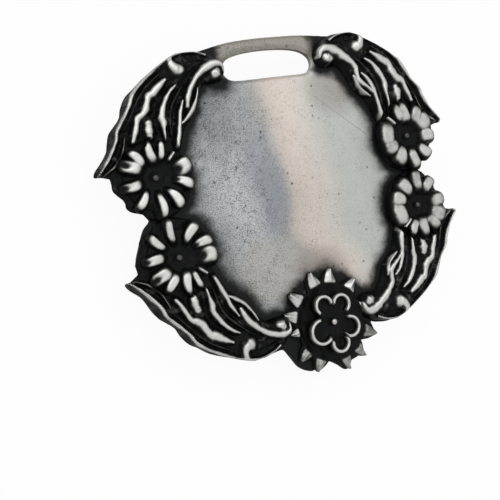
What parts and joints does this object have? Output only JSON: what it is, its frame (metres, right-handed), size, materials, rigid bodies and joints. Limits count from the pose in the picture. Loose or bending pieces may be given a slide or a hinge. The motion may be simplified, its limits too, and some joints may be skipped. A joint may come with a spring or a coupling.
{
  "type": "belt buckle",
  "caption": "Ornamental plate belt buckle with a strap slot at one end, applied scroll and daisy sprays, a rosette, and a hinged hook on its back.",
  "frame": {"origin": "on the plate's back face, on the middle line, half a millimetre from the middle of the whole buckle's box", "axes": "+Z out of the plate's front, +Y towards the strap slot, +X to the right seen from the front"},
  "size_m": [0.0876, 0.0767, 0.0107],
  "materials": {
    "silver": "polished by wear, finely pitted, oxidised along the ornament",
    "oxidised_silver": "blackened in the recesses, worn bright on the crests",
    "findings": "satin"
  },
  "bodies": {
    "buckle": {"plate": "silver", "spray_upper_left": "oxidised_silver", "daisy_upper_left": "oxidised_silver", "daisy_rivet_upper_left": "findings", "rivet_burr_upper_left": "findings", "spray_upper_right": "oxidised_silver", "daisy_upper_right": "oxidised_silver", "daisy_rivet_upper_right": "findings", "rivet_burr_upper_right": "findings", "spray_lower_left": "oxidised_silver", "daisy_lower_left": "oxidised_silver", "daisy_rivet_lower_left": "findings", "rivet_burr_lower_left": "findings", "spray_lower_right": "oxidised_silver", "daisy_lower_right": "oxidised_silver", "daisy_rivet_lower_right": "findings", "rivet_burr_lower_right": "findings", "rosette_calyx": "oxidised_silver", "rosette_cinquefoil": "oxidised_silver", "rosette_rivet": "findings", "rivet_burr_rosette": "findings", "hinge_leaf": "findings", "hinge_pin": "findings"},
    "hook": {"belt_hook": "findings"}
  },
  "joints": [
    {"name": "hook_hinge", "type": "hinge", "parent": "buckle", "child": "hook", "pos_m": [0, -0.0128, -0.00173], "axis": [1, 0, 0], "range_deg": [0, 100]}
  ]
}
